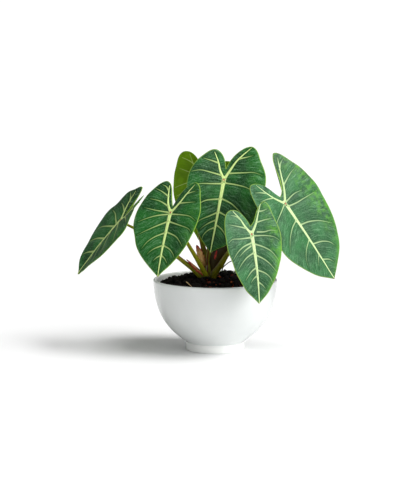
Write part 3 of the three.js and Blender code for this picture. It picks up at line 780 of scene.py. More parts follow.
def build_blade(leaf, settings, material):
    """One leaf blade: a closed sheet with ribs below, puffs between its veins and a thin margin."""
    outlines = [heart_half(leaf, leaf["left"]) * (1, -1), heart_half(leaf, leaf["right"])]
    outline = np.concatenate([outlines[0], outlines[1][1:-1][::-1]])
    around = len(outline)
    fractions = np.linspace(0, 1, BLADE_RINGS + 1)[1:] ** 0.85
    sheet = np.concatenate([[[0, 0]], (fractions[:, None, None] * outline).reshape(-1, 2)])
    depth, strength, distance = vein_fields(sheet, vein_lines(leaf))
    margin, _ = nearest_on(sheet, np.vstack([outline, outline[:1]]))
    round_share = np.concatenate([[0], np.tile(np.arange(around) / around, BLADE_RINGS)])
    ring_share = np.concatenate([[0], np.repeat(fractions, around)])

    base = blade_surface(sheet, leaf)
    normal = blade_normals(sheet, leaf)
    edge = np.clip((ring_share - 0.5) / 0.5, 0, 1) ** 2
    phase = 2 * math.pi * leaf["waves"] * round_share + leaf["seed"]
    waves = leaf["wave"] * edge * np.sin(phase + 1.3 * np.sin(phase / 2.3))
    gentle = wander(np.c_[sheet, np.zeros(len(sheet))], 34, leaf["seed"])
    waves += 0.8 * gentle * np.minimum(ring_share * 2, 1)
    puff = settings.puff / MM * (1 - np.exp(-(distance / 5.0) ** 2)) * np.minimum(margin / 6, 1)
    half = 0.5 * settings.thickness / MM * np.sqrt(np.clip(margin / 1.5, 0.0, 1))
    inside = np.clip(depth, 0, 1)
    swelling = np.sqrt(1 - (1 - inside) ** 2)
    raised = settings.ridge / MM * np.maximum(strength - 0.6, 0) * 2.5 * swelling
    ribs = settings.rib / MM * strength**2 * swelling
    upper = base + normal * (waves + puff + half + raised)[:, None]
    lower = base + normal * (waves + puff - half - ribs)[:, None]
    rim = len(sheet) - around
    upper[rim:] = base[rim:] + normal[rim:] * waves[rim:, None]

    points = np.concatenate([upper, lower[:rim]]) * MM
    faces = [(0, 1 + i, 1 + (i + 1) % around) for i in range(around)]
    faces += ring_faces(BLADE_RINGS, around, 1)
    bottom = len(upper)
    lower_faces = [(0, 1 + (i + 1) % around, 1 + i) for i in range(around)]
    lower_faces += [face[::-1] for face in ring_faces(BLADE_RINGS, around, 1)]
    faces += [tuple(k if k >= rim else k + bottom for k in face) for face in lower_faces]

    both = np.concatenate([np.arange(len(sheet)), np.arange(rim)])
    broad = max(leaf["right"]["half"], leaf["left"]["half"])
    attributes = {
        "flat": np.c_[sheet, np.full(len(sheet), float(leaf["seed"]))][both],
        "flow": vein_flow(sheet, leaf)[both],
        "vein_depth": depth[both],
        "vein_strength": strength[both],
        "vein_gap": distance[both],
        "margin_gap": margin[both],
        "side": (sheet[:, 1] / broad)[both],
        "reach": (sheet[:, 0] / leaf["length"])[both],
        "underside": np.concatenate([np.zeros(rim), np.full(around, 0.5), np.ones(rim)]),
    }
    name = f"blade_{leaf['name']}"
    return new_piece(name, points, faces, material, attributes, f"leaf_{leaf['name']}")


def leaf_finish(name, settings, base, light, vein, underside, sun, gloss, shine):
    """Living leaf: pale veins on green, painted sheen on fine streaks, a thin margin line, a matt
    underside.

    sun is how strongly painted sunlight brightens its right margin, gloss its roughness and shine its
    mirror strength.
    """
    f = Finish(name)
    flat = f.attribute("flat", "Vector")
    flow = f.attribute("flow")
    depth = f.attribute("vein_depth")
    strength = f.attribute("vein_strength")
    gap = f.attribute("vein_gap")
    margin = f.attribute("margin_gap")
    side = f.attribute("side")
    reach = f.attribute("reach")
    below = f.attribute("underside").step(0.45, 0.55)

    wobble = f.noise(flat, 0.12, 2.0) * 5
    streak_place = f.vector(flow + wobble, side * 4.0, 0.0)
    streaks = f.noise(streak_place, 0.55, 2.5, 0.6).step(0.52, 0.7)
    fine = f.noise(streak_place, 1.3, 2.0, 0.6).step(0.52, 0.68)
    mottle = f.noise(flat, 0.035, 3.0).step(0.36, 0.64)
    flecks = f.noise(flat, 0.55, 3.0, 0.65).step(0.5, 0.7)
    bent = f.vector_math("ADD", flat, f.swirl(flat, 0.3, 2.0))
    sockets = {"Vector": bent, "Scale": 0.36}
    edges = f.node("ShaderNodeTexVoronoi", {"feature": "DISTANCE_TO_EDGE"}, sockets)
    net = 1 - edges.step(0.015, 0.14)
    cells = f.noise(flat, 1.4, 2.0)
    open_blade = gap.step(0.8, 2.6)

    blade = f.mix(mottle * 0.6 + flecks * 0.14, base, light)
    # The fine lines are partly real small veins, raised by the bump, and partly painted sheen in their
    # colour.
    lines = (streaks * 0.5 + fine * 0.5) * open_blade
    # Painted sheen: the lines and the fine net are paled towards the sheen colour.
    painted_sheen = settings.sheen[:]
    blade = f.mix(lines * (flecks * 0.35 + 0.45), blade, painted_sheen)
    blade = f.mix(net * open_blade * 0.1, blade, painted_sheen)
    # Painted shade: the blade is darkened towards its base green in the creases beside the veins.
    painted_vein_shade = (1 - gap.step(0.9, 3.2)) * 0.45
    blade = f.mix(painted_vein_shade, blade, base)
    # Painted sunlight: patches on the right half and along its lower margin are brightened towards a sunlit
    # green.
    if sun:
        patches = f.noise(flat, 0.12, 4.0, 0.65).step(0.4, 0.7)
        painted_sun_zone = side.step(0.35, 0.85) * patches
        painted_sun_edge = (1 - margin.step(1.0, 8.0)) * reach.step(-0.1, 0.4) * 0.5
        painted_sun_edge = painted_sun_edge * side.step(-0.2, 0.4)
        blade = f.mix((painted_sun_zone * sun + painted_sun_edge * sun).capped(), blade, settings.painted_sunlight[:])
    line = 1 - margin.step(0.4, 1.25)
    blade = f.mix(line * 0.8, blade, settings.margin[:])
    vein_mask = depth.step(-0.3, 0.4)
    pale = f.mix(strength, light, vein)
    pale = f.mix(depth.step(0.5, 0.9) * strength.step(0.7, 0.9) * 0.28, pale, settings.margin[:])
    blade = f.mix(vein_mask * (strength * 0.7 + 0.42).capped(), blade, pale)
    from_joint = f.vector_math("LENGTH", f.stretched(flat, (1, 1, 0)), output=1)
    blade = f.mix((1 - from_joint.step(0.7, 1.9)) * 0.85, blade, settings.joint[:])
    blade = f.mix(reach.step(0.978, 0.996), blade, DRY_TIP)

    lower = f.mix(mottle * 0.6 + fine * 0.3, tuple(0.6 * part for part in underside), underside)
    lower = f.mix(vein_mask * 0.8, lower, f.mix(0.6, underside, vein))
    colour = f.mix(below, blade, lower)
    rough = gloss + cells * 0.14 + below * 0.2 - streaks * 0.05
    relief = cells * 0.4 + lines * 1.1 + flecks * 0.3 + net * 0.6
    normal = f.bump(relief, 0.18 * MM, 0.7)
    return f.done(Base_Color=colour, Roughness=rough, Normal=normal, Specular_IOR_Level=shine)


class ALOCASIA_OT_leaves(bpy.types.Operator):
    """Build the six leaf blades"""

    bl_idname = "alocasia.leaves"
    bl_label = "Leaves"

    def execute(self, context):
        s = context.scene.alocasia.leaves
        deep = (s.deep[:], s.deep_light[:], s.vein[:])
        young_sheened = (s.young_sheened[:], s.young_light[:], s.young_vein[:])
        finishes = {
            "deep": leaf_finish("leaf_deep", s, *deep, s.underside[:], 0.3, 0.42, 0.16),
            # The young finish carries a painted greyish sheen in its greens.
            "young_sheened": leaf_finish("leaf_young", s, *young_sheened, s.underside[:], 0.9, 0.4, 0.3),
            "back": leaf_finish("leaf_back", s, *deep, s.back[:], 0.0, 0.45, 0.15),
        }
        for leaf in LEAVES:
            build_blade(leaf, s, finishes[leaf["finish"]])
        return {"FINISHED"}


# ---------- stalks, crown and sheaths ----------

STALK_RINGS = 90
STALK_SIDES = 32
# Where along a stalk its wings are widest and how far they run, as shares of its length, and where
# the edges of its groove are, in radians from the groove's middle.
WING_AT = 0.24
WING_SPREAD = 0.13
EDGE_ANGLE = 0.95


def sweep_frames(path, first_side):
    """Directions across a path that turn as little as possible along it."""
    tangents = np.gradient(path, axis=0)
    tangents /= np.linalg.norm(tangents, axis=1)[:, None]
    side = rows(first_side)
    sides = []
    for tangent in tangents:
        side = side - tangent * side.dot(tangent)
        side = side / np.linalg.norm(side)
        sides.append(side)
    sides = rows(sides)
    return sides, np.cross(tangents, sides)


def capped_tube(path, first_side, offsets):
    """A closed tube: offsets holds, for each ring, the (side, up) reach of each point round it."""
    sides, ups = sweep_frames(path, first_side)
    rings, around, _ = offsets.shape
    points = path[:, None] + offsets[..., :1] * sides[:, None] + offsets[..., 1:] * ups[:, None]
    points = np.concatenate([points.reshape(-1, 3), path[:1], path[-1:]])
    return points, closed_rings(rings, around)


def build_stalk(leaf, material):
    """One stalk: a grooved, sheathing foot that narrows to a round neck under its blade."""
    _, _, face = leaf_frame(leaf)
    joint = rows(leaf["joint"])
    crown = crown_middle() / MM
    controls = list(leaf["stalk"]["path"]) + [tuple(joint - 8 * face), tuple(joint - 1.2 * face)]
    foot = rows(controls[0])
    controls.insert(0, tuple(foot + (crown - foot) * (0.25, 0.25, 0) - (0, 0, 6)))
    path = smooth_path(controls, STALK_RINGS)
    share = np.linspace(0, 1, STALK_RINGS)
    radii = leaf["stalk"]["radii"]
    radius = np.interp(share, np.linspace(0, 1, len(radii)), radii)
    radius += 1.2 * np.exp(-(share / 0.08) ** 2) + 0.5 * np.exp(-((1 - share) / 0.03) ** 2)
    angle = np.linspace(-math.pi, math.pi, STALK_SIDES, endpoint=False)
    hollow = 0.42 * np.exp(-(share / 0.35) ** 2) + 0.06
    ridge = 0.16 * np.exp(-(share / 0.4) ** 2)
    shape = (
        1
        - hollow[:, None] * np.exp(-(angle / 0.55) ** 2)
        + ridge[:, None] * np.exp(-((abs(angle) - EDGE_ANGLE) / 0.22) ** 2)
    )
    wing = leaf["stalk"]["wing"] * np.exp(-((share - WING_AT) / WING_SPREAD) ** 2)
    reach = radius[:, None] * shape
    broad = 1 + wing[:, None]
    offsets = np.stack([reach * np.cos(angle), reach * np.sin(angle) * broad], axis=-1)
    inward = rows(leaf["stalk"].get("groove", crown + rows((0, 0, 40)) - path[8]))
    points, faces = capped_tube(path, inward, offsets)
    edge = np.exp(-((abs(angle) - EDGE_ANGLE) / 0.2) ** 2)
    count = len(points)
    attributes = {
        "along": np.concatenate([np.repeat(share, STALK_SIDES), [0, 1]]),
        "edge": np.concatenate([np.tile(edge, STALK_RINGS), [0, 0]]),
        "turn": np.concatenate([np.tile(angle / math.pi, STALK_RINGS), [0, 0]]),
        "maroon": np.full(count, leaf["stalk"]["maroon"]),
        "strand": np.full(count, float(leaf["seed"])),
    }
    name, node = f"petiole_{leaf['name']}", f"stalk_{leaf['name']}"
    return new_piece(name, points * MM, faces, material, attributes, node)


def stalk_finish(settings):
    """Smooth olive skin, fine long streaks, russet sheath edges, a foot reddened and darkened by painted
    shade.
    """
    f = Finish("stalk")
    along, edge, turn = f.attribute("along"), f.attribute("edge"), f.attribute("turn")
    maroon, strand = f.attribute("maroon"), f.attribute("strand")
    streak_place = f.vector(turn * 9.0, along * 2.5, strand)
    streaks = f.noise(streak_place, 1.6, 3.0).step(0.35, 0.7)
    veins = f.noise(streak_place, 3.4, 2.0).step(0.56, 0.72)
    blotches = f.noise(f.place(), 90.0, 3.0).step(0.5, 0.7)
    skin = f.mix(streaks * 0.7, settings.olive[:], settings.lime[:])
    skin = f.mix(veins * 0.45, skin, settings.russet[:])
    # Painted shade, partly real redness: the foot darkens towards maroon.
    foot = 1 - along.step(0.02, 0.14)
    skin = f.mix(foot * 0.35, skin, settings.maroon[:])
    lines = edge.step(0.05, 0.6) * (1 - along.step(0.5, 0.95))
    skin = f.mix(lines, skin, settings.russet[:])
    # Each stalk's maroon share is partly real redness and partly painted shade on the stalks that stand in
    # shadow.
    red = (maroon * (1 - along.step(0.3, 0.8)) + blotches * 0.18).capped(0.92)
    skin = f.mix(red, skin, settings.maroon[:])
    relief = f.bump(streaks + blotches * 0.4, 0.15 * MM, 0.5)
    rough = 0.38 + streaks * 0.16
    return f.done(Base_Color=skin, Roughness=rough, Normal=relief, Specular_IOR_Level=0.22)


class ALOCASIA_OT_stalks(bpy.types.Operator):
    """Build the six stalks"""

    bl_idname = "alocasia.stalks"
    bl_label = "Stalks"

    def execute(self, context):
        material = stalk_finish(context.scene.alocasia.stalks)
        for leaf in LEAVES:
            build_stalk(leaf, material)
        return {"FINISHED"}


HUSK_THICKNESS = 0.35


def husk_finish(settings):
    """Papery fibre, peach with red edges and tips."""
    f = Finish("husk")
    along, edge, turn = f.attribute("along"), f.attribute("edge"), f.attribute("turn")
    fibre_place = f.vector(turn * 8.0, along * 1.5, 0.0)
    fibres = f.noise(fibre_place, 2.4, 3.0).step(0.3, 0.7)
    folds = f.noise(f.stretched(fibre_place, (0.4, 1, 1)), 1.1, 2.0).step(0.42, 0.62)
    # The bright husk colour is partly painted light coming through the thin sheaths.
    skin = f.mix(fibres * 0.45, settings.husk[:], settings.husk_gold[:])
    skin = f.mix(folds * 0.3, skin, settings.husk_edge[:])
    red = edge.step(0.6, 0.95) * 0.8 + along.step(0.62, 0.95) + f.attribute("red")
    red = red.capped()
    skin = f.mix(red, skin, settings.husk_edge[:])
    skin = f.mix((1 - along.step(0.0, 0.3)) * 0.5, skin, settings.russet[:])
    relief = f.bump(fibres + folds, 0.4 * MM, 0.8)
    return f.done(Base_Color=skin, Roughness=0.62, Normal=relief)


def build_husk(sheath, material):
    """A thin dry sheath that curls into a gutter and ends in a torn point."""
    base, tip = rows(sheath["base"]), rows(sheath["tip"])
    length = np.linalg.norm(tip - base)
    along = (tip - base) / length
    across = np.cross(rows(sheath["face"]), along)
    across /= np.linalg.norm(across)
    face = np.cross(along, across)
    steps, columns = 40, 17
    t = np.linspace(0, 1, steps)
    s = np.linspace(-1, 1, columns)
    width = 0.5 * sheath["width"] * np.sqrt(1 - t**2.2) * (0.85 + 0.3 * np.sin(t * 3))
    ragged = 1 + 0.10 * np.sin(t * 41 + sheath["width"]) + 0.07 * np.sin(t * 97)
    width = np.maximum(width * ragged, 0.12)
    v = width[:, None] * s
    gutter = -1.1 * (v / 2.2) ** 2
    bow = 2.4 * (t * (1 - t))[:, None]
    grid = (
        base + (t * length)[:, None, None] * along + v[..., None] * across
        + (gutter + bow)[..., None] * face
    )
    sheet = grid.reshape(-1, 3)
    points = np.concatenate([sheet + face * HUSK_THICKNESS / 2, sheet - face * HUSK_THICKNESS / 2])
    count = steps * columns
    faces = []
    for i in range(steps - 1):
        for j in range(columns - 1):
            a, b = i * columns + j, i * columns + j + 1
            faces.append((a, a + columns, b + columns, b))
            faces.append((count + a, count + b, count + b + columns, count + a + columns))
    index = np.arange(count).reshape(steps, columns)
    sides = (index[0], index[1:, -1], index[-1, -2::-1], index[-2:0:-1, 0])
    border = np.concatenate(sides).tolist()
    for a, b in zip(border, border[1:] + border[:1]):
        faces.append((a, b, count + b, count + a))
    share = np.tile(np.repeat(t, columns), 2)
    turn = np.tile(np.tile(s, steps), 2)
    red = np.full(len(share), float(sheath["red"]))
    attributes = {"along": share, "turn": turn, "edge": abs(turn), "red": red}
    name, node = f"husk_{sheath['name']}", f"sheath_{sheath['name']}"
    return new_piece(name, points * MM, faces, material, attributes, node)


class ALOCASIA_OT_husks(bpy.types.Operator):
    """Build the dry sheaths between the stalks"""

    bl_idname = "alocasia.husks"
    bl_label = "Dry sheaths"

    def execute(self, context):
        material = husk_finish(context.scene.alocasia.stalks)
        for sheath in SHEATHS:
            build_husk(sheath, material)
        return {"FINISHED"}


class ALOCASIA_OT_crown(bpy.types.Operator):
    """Build the short ringed stem base that the stalks rise from"""

    bl_idname = "alocasia.crown"
    bl_label = "Crown"

    def execute(self, context):
        s = context.scene.alocasia.stalks
        low, high = (rows(corner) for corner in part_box("crown"))
        centre, radius, height = (low + high) / 2, (high[0] - low[0]) / 2, high[2] - low[2]
        rings, around = 40, 72
        share = np.linspace(0, 1, rings)
        angle = whole_turn(around)
        profile = radius * 0.93 * np.sqrt(np.sin(math.pi * (0.06 + 0.88 * share)))
        scars = 1 + 0.03 * np.sin(share * 60)[:, None] + 0.04 * np.sin(angle * 5 + share[:, None] * 4)
        reach = profile[:, None] * scars
        level = low[2] + share * height * 0.97
        points = np.concatenate([turned_points(reach, level, angle), [[0, 0, level[0]], [0, 0, level[-1]]]])
        points += (centre[0], centre[1], 0)
        f = Finish("crown")
        fibres = f.noise(f.stretched(f.place(), (1, 1, 0.25)), 700.0, 4.0).step(0.35, 0.7)
        skin = f.mix(fibres, s.maroon[:], s.russet[:])
        material = f.done(Base_Color=skin, Roughness=0.8, Normal=f.bump(fibres, 0.6 * MM))
        faces = closed_rings(rings, around)
        new_piece("crown_stub", points, faces, material, None, "crown")
        return {"FINISHED"}


# ---------- bowl ----------


PINHOLE = tone(178, 178, 170)
SEAT = 14 * MM


def bowl_profile(settings):
    """The bowl's closed outline as (radius, height) points in metres, from the axis below."""
    _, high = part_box("pot")
    rim, height = high[0], high[2]
    foot, foot_height, wall = settings.foot_radius, settings.foot_height, settings.wall
    curve = bezier(
        (foot - 0.2 * MM, foot_height + 1.2 * MM), (rim - 16.5 * MM, height - 63.5 * MM),
        (rim - 1.6 * MM, height - 44 * MM), (rim, height - 2 * MM), 80,
    )
    tangent = np.gradient(curve, axis=0)
    tangent /= np.linalg.norm(tangent, axis=1)[:, None]
    inward = np.stack([-tangent[:, 1], tangent[:, 0]], axis=1)
    inner = (curve + inward * wall)[::-1]
    inner = inner[inner[:, 1] > SEAT + 2 * MM]
    lip_middle = (curve[-1] + inner[0]) / 2
    turns = np.linspace(0, math.pi, 14)[1:-1]
    lip_out = rows((wall / 2, height - lip_middle[1]))
    lip = lip_middle + np.stack([np.cos(turns), np.sin(turns)], axis=1) * lip_out
    corner = 1.5 * MM
    turns = np.linspace(-math.pi / 2, 0, 8)
    foot_edge = rows((foot - corner, corner)) + corner * np.stack([np.cos(turns), np.sin(turns)], axis=1)
    joint = bezier(
        (foot, foot_height - 1.6 * MM), (foot - 0.1 * MM, foot_height - 0.5 * MM),
        (foot - 0.7 * MM, foot_height + 0.1 * MM), (foot - 0.5 * MM, foot_height + 0.7 * MM), 10,
    )
    floor = [(30 * MM, SEAT + 1 * MM), (15 * MM, SEAT), (0, SEAT)]
    underside = [(0, 0), (12 * MM, 0), (26 * MM, 0)]
    return np.concatenate([underside, foot_edge, joint, curve, lip, inner, floor])


def glaze_finish(settings):
    """White glaze: clear gloss over a faintly uneven white body, with painted light whitening the foot and
    inside.
    """
    f = Finish("white_glaze")
    place = f.place()
    cloud = f.noise(place, 22.0, 3.0).step(0.3, 0.75)
    ripple = f.noise(place, 60.0, 2.0)
    grain = f.noise(place, 900.0, 2.0)
    dots = f.node("ShaderNodeTexVoronoi", None, {"Vector": place, "Scale": 260.0})
    pinholes = 1 - dots.step(0.03, 0.09)
    colour = f.mix(cloud * 0.6, settings.glaze[:], settings.pooled[:])
    colour = f.mix(pinholes * 0.12, colour, PINHOLE)
    # Painted light on the foot and the inside.
    colour = f.mix(f.attribute("whiter"), colour, settings.foot[:])
    relief = f.bump(ripple + grain * 0.05 - pinholes * 0.1, 0.25 * MM, 0.25)
    rough = 0.09 + cloud * 0.05 + grain * 0.03
    return f.done(
        Base_Color=colour, Roughness=rough, Normal=relief, IOR=1.52, Coat_Weight=0.3,
        Coat_Roughness=0.05,
    )


class ALOCASIA_OT_bowl(bpy.types.Operator):
    """Build the white glazed bowl"""

    bl_idname = "alocasia.bowl"
    bl_label = "Bowl"

    def execute(self, context):
        settings = context.scene.alocasia.bowl
        profile = bowl_profile(settings)
        around = 240
        middle = profile[1:-1]
        points = turned_points(middle[:, :1], middle[:, 1], whole_turn(around))
        points = np.concatenate([points, [[0, 0, profile[0][1]], [0, 0, profile[-1][1]]]])
        faces = closed_rings(len(middle), around)
        # The foot and the inside get the painted light of the whiter colour.
        beyond_lip = np.arange(len(middle)) > middle[:, 1].argmax()
        whiter = beyond_lip | (middle[:, 1] < settings.foot_height + 0.6 * MM)
        attributes = {"whiter": np.concatenate([np.repeat(whiter, around), [1, 1]])}
        new_piece("glazed_bowl", points, faces, glaze_finish(settings), attributes, "pot")
        return {"FINISHED"}


# ---------- soil and what lies on it ----------

# Heaps on the packed soil: x, y, rise and spread in millimetres.
HEAPS = (
    (-8, -6, 3.2, 20), (16, 22, 3.4, 16), (30, 34, 3.0, 18), (-30, 28, 4.2, 12), (-44, 18, 1.8, 10),
    (13, 20, 4.5, 5),
)
# Crumbs left of this place, in millimetres, are mostly dark, and none lie this near the crown.
DARK_SIDE = -12
CROWN_GAP = 8


class SoilLevel:
    """The height of the packed soil at any place."""

    def __init__(self):
        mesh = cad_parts["soil"].data
        corners = [vertex.co for vertex in mesh.vertices]
        self.tree = BVHTree.FromPolygons(corners, [face.vertices for face in mesh.polygons])
        _, self.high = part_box("soil")

    def at(self, x, y):
        hit = self.tree.ray_cast(Vector((x, y, self.high[2] + 0.01)), Vector((0, 0, -1)))[0]
        ground = hit[2] if hit else self.high[2] - 6 * MM
        for at_x, at_y, rise, spread in HEAPS:
            reach = math.hypot(x / MM - at_x, y / MM - at_y) / spread
            ground += rise * MM * math.exp(-reach * reach)
        return ground


def lump_mesh(subdivisions=2):
    """Points and faces of a unit ball, the start of every crumb."""
    ball = bmesh.new()
    bmesh.ops.create_icosphere(ball, subdivisions=subdivisions, radius=1)
    points = rows([v.co for v in ball.verts])
    faces = [tuple(v.index for v in face.verts) for face in ball.faces]
    ball.free()
    return points, faces


def turned_by(points, turn, tilt):
    """Points turned by tilt about X and then by turn about Z."""
    c, s = math.cos(tilt), math.sin(tilt)
    tilted = points @ rows(((1, 0, 0), (0, c, s), (0, -s, c)))
    c, s = math.cos(turn), math.sin(turn)
    return tilted @ rows(((c, s, 0), (-s, c, 0), (0, 0, 1)))


def rough_lump(ball, size, roughness, seed, turn, tilt):
    bumps = 1 + roughness * wander(ball, 0.8, seed)[:, None]
    return turned_by(ball * bumps * size, turn, tilt)


def scatter_lumps(level, draw, count, size_range, edge, tints):
    """Many small lumps on the soil as one mesh, with a tint for each."""
    ball, ball_faces = lump_mesh()
    crown = crown_middle()
    points, faces, colours = [], [], []
    while len(points) < count:
        radius, turn = edge * math.sqrt(draw.random()), draw.uniform(0, 2 * math.pi)
        x, y = radius * math.cos(turn), radius * math.sin(turn)
        size = draw.uniform(*size_range) * draw.choice((0.6, 1, 1, 1.3))
        shape = [size * draw.uniform(*share) for share in ((0.6, 1.5), (0.5, 0.9), (0.6, 1.0))]
        spin, tilt = draw.uniform(0, 2 * math.pi), draw.uniform(-0.5, 0.5)
        seed = draw.uniform(0, 50)
        tint = draw.choice(tints) * (1 if x > DARK_SIDE * MM else 0.35)
        if math.hypot(x - crown[0], y - crown[1]) < CROWN_GAP * MM:
            continue
        lump = rough_lump(ball, shape, 0.55, seed, spin, tilt)
        lump += (x, y, level.at(x, y) + shape[2] * 0.5)
        start = len(points) * len(ball)
        faces += [tuple(start + k for k in face) for face in ball_faces]
        points.append(lump)
        colours += [tint] * len(ball)
    return np.concatenate(points), faces, colours


def soil_finish(settings):
    """Moist potting mix: nearly black, with brown crumbs and bits of bark."""
    f = Finish("potting_mix")
    tint = f.attribute("tint")
    place = f.place()
    grain = f.noise(place, 900.0, 4.0, 0.7)
    patches = f.noise(place, 120.0, 3.0).step(0.4, 0.75)
    dark = f.mix(patches * 0.35 + grain.step(0.55, 0.8) * 0.25, settings.dark[:], settings.brown[:])
    stops = [
        (0.0, settings.dark[:]), (0.35, settings.brown[:]), (0.6, settings.red_bark[:]),
        (0.8, settings.bark[:]), (1.0, settings.pale[:]),
    ]
    bits = f.node("ShaderNodeValToRGB", {"stops": stops}, {0: tint})
    colour = f.mix(tint.step(0.05, 0.2), dark, bits)
    colour = f.mix(grain.step(0.55, 0.75) * 0.45, colour, settings.dark[:])
    relief = f.bump(grain, 1.2 * MM, 1.0)
    rough = 0.78 + grain * 0.2
    return f.done(Base_Color=colour, Roughness=rough, Normal=relief, Specular_IOR_Level=0.2)


class ALOCASIA_OT_soil(bpy.types.Operator):
    """Build the heaped potting mix and its crumbs"""

    bl_idname = "alocasia.soil"
    bl_label = "Soil"

    def execute(self, context):
        settings = context.scene.alocasia.soil
        level = SoilLevel()
        draw = random.Random(8)
        edge = level.high[0] - 0.4 * MM
        material = soil_finish(settings)
        rings, around = 90, 220
        top = []
        for radius in np.linspace(1, 0, rings + 1)[:-1] * edge:
            for turn in whole_turn(around):
                x, y = radius * math.cos(turn), radius * math.sin(turn)
                coarse = noise.noise(Vector((x, y, 0)) / (8 * MM)) * 3.2
                lumps = noise.noise(Vector((x, y, 1)) / (2.6 * MM)) * 1.1
                top.append((x, y, level.at(x, y) + (coarse + lumps - 0.6) * MM))
        top = rows(top)
        deep = top[:around] * (0.93, 0.93, 0) + (0, 0, level.high[2] - 26 * MM)
        points = np.concatenate([deep, top, [[0, 0, deep[0][2]], [0, 0, top[-1][2]]]])
        faces = closed_rings(rings + 1, around)
        tint = {"tint": np.zeros(len(points))}
        new_piece("potting_mix", points, faces, material, tint, "soil")
        tints = (0, 0, 0, 0, 0, 0, 0, 0.05, 0.1, 0.3)
        clods = (settings.clods, (2.4 * MM, 4.8 * MM), edge * 0.93, tints)
        tints = tints * 4 + (0.4, 0.5, 0.55, 0.62, 0.72, 0.8)
        crumbs = (settings.crumbs, (0.8 * MM, 2.0 * MM), edge * 0.97, tints)
        for name, sort in (("soil_clods", clods), ("soil_crumbs", crumbs)):
            points, faces, tint = scatter_lumps(level, draw, *sort)
            new_piece(name, points, faces, material, {"tint": tint})
        return {"FINISHED"}


def bark_finish(settings):
    """Split bark: orange-brown with darker long fibres."""
    f = Finish("bark")
    place = f.place()
    fibres = f.noise(f.stretched(place, (1, 4, 1)), 500.0, 4.0).step(0.35, 0.7)
    patch = f.noise(place, 260.0, 2.0).step(0.4, 0.6)
    colour = f.mix(fibres, settings.red_bark[:], settings.bark[:])
    colour = f.mix(patch * 0.5, colour, settings.brown[:])
    return f.done(Base_Color=colour, Roughness=0.85, Normal=f.bump(fibres, 0.4 * MM))


class ALOCASIA_OT_litter(bpy.types.Operator):
    """Build the bark chips, straw and rootlet that lie on the soil"""

    bl_idname = "alocasia.litter"
    bl_label = "Bark, straw and rootlet"

    def execute(self, context):
        settings = context.scene.alocasia.soil
        bark = bark_finish(settings)
        ball, faces = lump_mesh(4)
        for node in sorted(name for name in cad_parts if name.startswith("bark_chip_")):
            low, high = (rows(corner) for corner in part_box(node))
            seed = int(node.split("_")[-1])
            slab = np.sign(ball) * abs(ball) ** 0.7
            size = (high - low) / 2 * 0.9
            splintered = 1 + 0.22 * wander(ball * (1, 3, 2), 0.9, seed)[:, None]
            points = (low + high) / 2 + slab * splintered * size - (0, 0, 1.2 * MM)
            new_piece(f"bark_bit_{seed}", points, faces, bark, None, node)
        level = SoilLevel()
        straw = ((-37, -24, 5.0), (-33, -34, 3.8), (-28, -46, 2.8))
        rootlet = ((8, 19, -1), (10, 22, 6), (14, 26, 12), (20, 29, 17), (30, 31, 21))
        stub = ((24, 30, -1), (26, 31, 5), (28, 32, 10))
        pale = (settings.pale[:], settings.bark[:])
        dark = (settings.brown[:], settings.dark[:])
        self.strand("straw", [straw], level, pale, 0.45, 1.5)
        self.strand("rootlet", [rootlet, stub], level, dark, 0.8, 2.1)
        return {"FINISHED"}

    @staticmethod
    def strand(node, paths, level, colours, roughness, width):
        """Thin strands as one piece, each along points whose heights are over the soil."""
        all_points, all_faces = [], []
        start, rings = 0, 60
        for path in paths:
            controls = [(x, y, z + level.at(x * MM, y * MM) / MM) for x, y, z in path]
            line = smooth_path(controls, rings)
            share = np.linspace(0, 1, rings)
            radius = 0.5 * width * (1 - 0.45 * share) + 0.06 * np.sin(share * 40)
            angle = whole_turn(12)
            offsets = radius[:, None, None] * np.stack([np.cos(angle), 0.7 * np.sin(angle)], axis=-1)
            points, faces = capped_tube(line, (0.3, 0.8, 0.1), offsets)
            all_points.append(points * MM)
            all_faces += [tuple(k + start for k in face) for face in faces]
            start += len(points)
        f = Finish(f"{node}_skin")
        fibres = f.noise(f.place(), 800.0, 3.0).step(0.35, 0.7)
        skin = f.mix(fibres * 0.6, *colours)
        material = f.done(Base_Color=skin, Roughness=roughness, Normal=f.bump(fibres, 0.2 * MM))
        new_piece(f"{node}_strand", np.concatenate(all_points), all_faces, material, None, node)


# ---------- stage ----------

# The camera looks at this x and this far below the plant's middle height, in millimetres.
AIM_SIDE = -8.6
AIM_DROP = 2

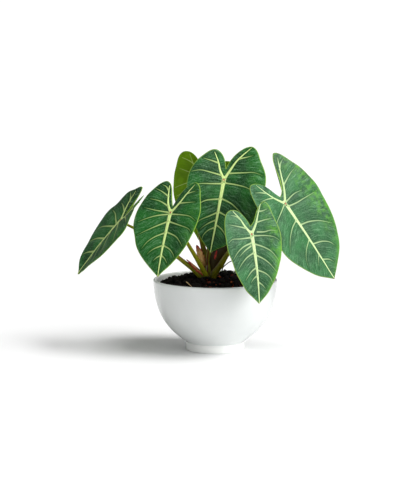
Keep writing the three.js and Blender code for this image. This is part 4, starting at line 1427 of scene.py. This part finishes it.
class ALOCASIA_OT_stage(bpy.types.Operator):
    """Build the pale floor, the soft studio light and the camera"""

    bl_idname = "alocasia.stage"
    bl_label = "Stage"

    def execute(self, context):
        s = context.scene.alocasia.stage
        scene = context.scene
        self.floor(s)
        self.surroundings(scene, s)
        middle = (rows(CAD_BOX[0]) + rows(CAD_BOX[1])) / 2
        self.broad_light("key_light", s.key, 40, (-0.6, 0.2, -0.77))
        self.broad_light("fill_light", s.fill, 50, (-0.7, 0.7, -0.12))
        self.camera(scene, s, middle)
        return {"FINISHED"}

    @staticmethod
    def floor(s):
        mesh = bpy.data.meshes.new("floor")
        half = 40
        corners = [(-half, -half, 0), (half, -half, 0), (half, half, 0), (-half, half, 0)]
        mesh.from_pydata(corners, [], [(0, 1, 2, 3)])
        f = Finish("floor")
        mesh.materials.append(f.done(Base_Color=s.floor[:], Roughness=0.9))
        floor = bpy.data.objects.new("floor", mesh)
        bpy.context.scene.collection.objects.link(floor)

    @staticmethod
    def surroundings(scene, s):
        world = bpy.data.worlds.new("surroundings")
        world.use_nodes = True
        background = world.node_tree.nodes["Background"]
        background.inputs["Color"].default_value = (1, 1, 1, 1)
        background.inputs["Strength"].default_value = s.world
        scene.world = world
        scene.view_settings.view_transform = "Standard"
        scene.view_settings.look = "None"

    @staticmethod
    def broad_light(name, strength, spread, direction):
        """A distant light as wide as spread degrees that shines along direction."""
        light = bpy.data.lights.new(name, "SUN")
        light.angle = math.radians(spread)
        light.energy = strength
        lamp = bpy.data.objects.new(name, light)
        lamp.rotation_euler = Vector(direction).to_track_quat("-Z", "Y").to_euler()
        bpy.context.scene.collection.objects.link(lamp)

    @staticmethod
    def camera(scene, s, middle):
        aim = rows((AIM_SIDE * MM, 0, middle[2] - AIM_DROP * MM))
        look = rows((0, math.cos(s.pitch), -math.sin(s.pitch)))
        data = bpy.data.cameras.new("camera")
        data.sensor_fit = "VERTICAL"
        data.sensor_height = 36
        data.lens = s.lens
        data.clip_end = 200
        camera = bpy.data.objects.new("camera", data)
        camera.location = aim - look * s.distance
        camera.rotation_euler = Vector(look).to_track_quat("-Z", "Y").to_euler()
        scene.collection.objects.link(camera)
        scene.camera = camera


# ---------- panel and registration ----------


class ALOCASIA_PT_panel(bpy.types.Panel):
    """Buttons that build the potted alocasia piece by piece"""

    bl_idname = "ALOCASIA_PT_panel"
    bl_label = "Potted alocasia"
    bl_space_type = "VIEW_3D"
    bl_region_type = "UI"
    bl_category = "Alocasia"

    def draw(self, context):
        for name in STEPS:
            self.layout.operator(f"alocasia.{name}")
        for group in ("leaves", "stalks", "bowl", "soil", "stage"):
            settings = getattr(context.scene.alocasia, group)
            box = self.layout.box()
            box.label(text=group.capitalize())
            for key in settings.__annotations__:
                box.prop(settings, key)


STEPS = ("bowl", "soil", "crown", "stalks", "husks", "leaves", "litter", "stage")
CLASSES = (
    LeafSettings, StalkSettings, BowlSettings, SoilSettings, StageSettings, PlantSettings,
    ALOCASIA_OT_bowl, ALOCASIA_OT_soil, ALOCASIA_OT_crown, ALOCASIA_OT_stalks, ALOCASIA_OT_husks,
    ALOCASIA_OT_leaves, ALOCASIA_OT_litter, ALOCASIA_OT_stage, ALOCASIA_PT_panel,
)


def register():
    for cls in CLASSES:
        bpy.utils.register_class(cls)
    bpy.types.Scene.alocasia = PointerProperty(type=PlantSettings)


def unregister():
    del bpy.types.Scene.alocasia
    for cls in reversed(CLASSES):
        bpy.utils.unregister_class(cls)


def main():
    register()
    for name in STEPS:
        getattr(bpy.ops.alocasia, name)()


if __name__ == "__main__":
    main()
